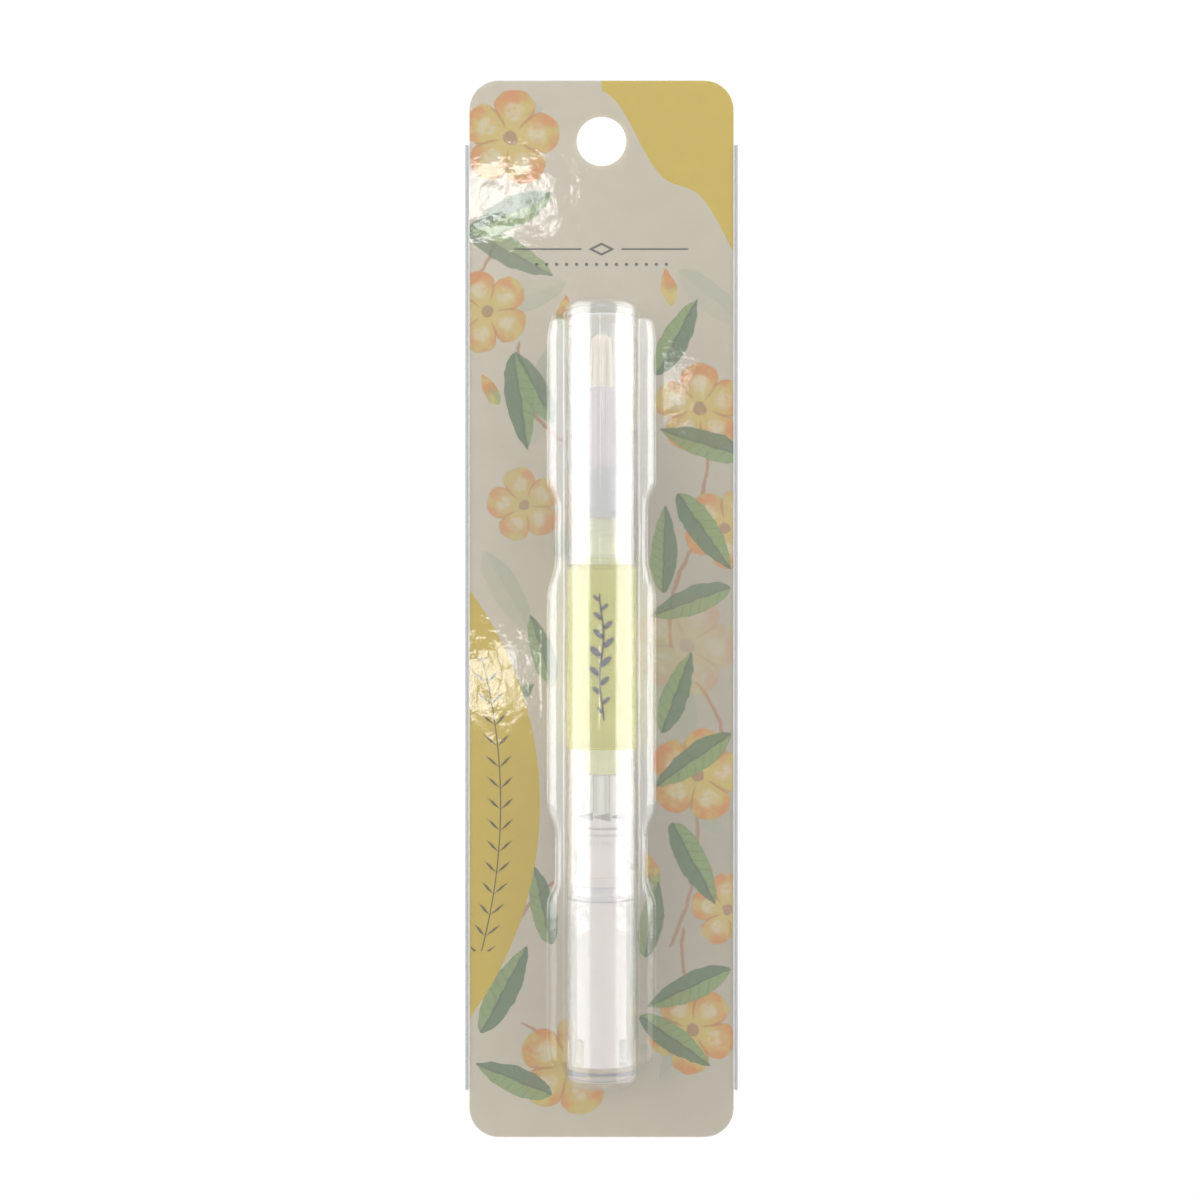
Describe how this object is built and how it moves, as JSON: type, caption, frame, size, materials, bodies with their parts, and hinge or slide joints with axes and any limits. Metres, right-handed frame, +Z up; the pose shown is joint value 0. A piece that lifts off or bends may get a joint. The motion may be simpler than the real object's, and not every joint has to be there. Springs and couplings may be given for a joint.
{
  "type": "carded cuticle oil pen",
  "caption": "Clear twist-up brush pen filled with cuticle oil, in a clear slide blister on a printed hanging card.",
  "frame": {"origin": "centre of the card's hanging hole, on the card's middle plane", "axes": "+Z up the card, -Y out of its printed front towards the pen, +X to the right seen from the front"},
  "size_m": [0.0464, 0.0131, 0.18],
  "materials": {
    "printed_card": "coated, printed",
    "clear_sheet": "clear thermoformed sheet",
    "clear_plastic": "clear, polished",
    "grey_plastic": "milky grey",
    "tinted_plastic": "clear with a mauve tint",
    "bristle_fibre": "fine nylon fibre",
    "cuticle_oil": "clear pale yellow liquid",
    "seal_plastic": "soft translucent",
    "white_plastic": "satin white"
  },
  "bodies": {
    "card": {"backing_card": "printed_card"},
    "pack": {"blister_shell": "clear_sheet", "barrel": "clear_plastic", "neck_plug": "grey_plastic", "ferrule": "tinted_plastic", "feed_tube": "tinted_plastic", "bristles": "bristle_fibre", "neck_oil": "cuticle_oil", "oil": "cuticle_oil", "screw_nut": "clear_plastic", "retaining_ring": "clear_plastic"},
    "cap": {"cap": "clear_plastic"},
    "knob": {"knob_shell": "clear_plastic", "drive_core": "white_plastic", "ratchet_ring": "white_plastic"},
    "screw": {"feed_screw": "white_plastic"},
    "piston": {"piston": "seal_plastic"}
  },
  "joints": [
    {"name": "blister_slide", "type": "slide", "parent": "card", "child": "pack", "axis": [0, 0, -1], "range_m": [0, 0.182]},
    {"name": "cap_pull", "type": "slide", "parent": "pack", "child": "cap", "axis": [0, 0, 1], "range_m": [0, 0.00065]},
    {"name": "knob_twist", "type": "hinge", "parent": "pack", "child": "knob", "pos_m": [0, -0.00628, -0.1581], "axis": [0, 0, 1], "range_deg": [0, 3510]},
    {"name": "screw_feed", "type": "slide", "parent": "knob", "child": "screw", "axis": [0, 0, 1], "range_m": [0, 0.0292]},
    {"name": "piston_feed", "type": "slide", "parent": "pack", "child": "piston", "axis": [0, 0, 1], "range_m": [0, 0.0293], "deforming": ["oil"]}
  ],
  "couplings": [
    {"joint": "knob_twist", "follows": "screw_feed", "rad_per_m": 2094.4},
    {"joint": "piston_feed", "follows": "screw_feed", "ratio": 1}
  ]
}
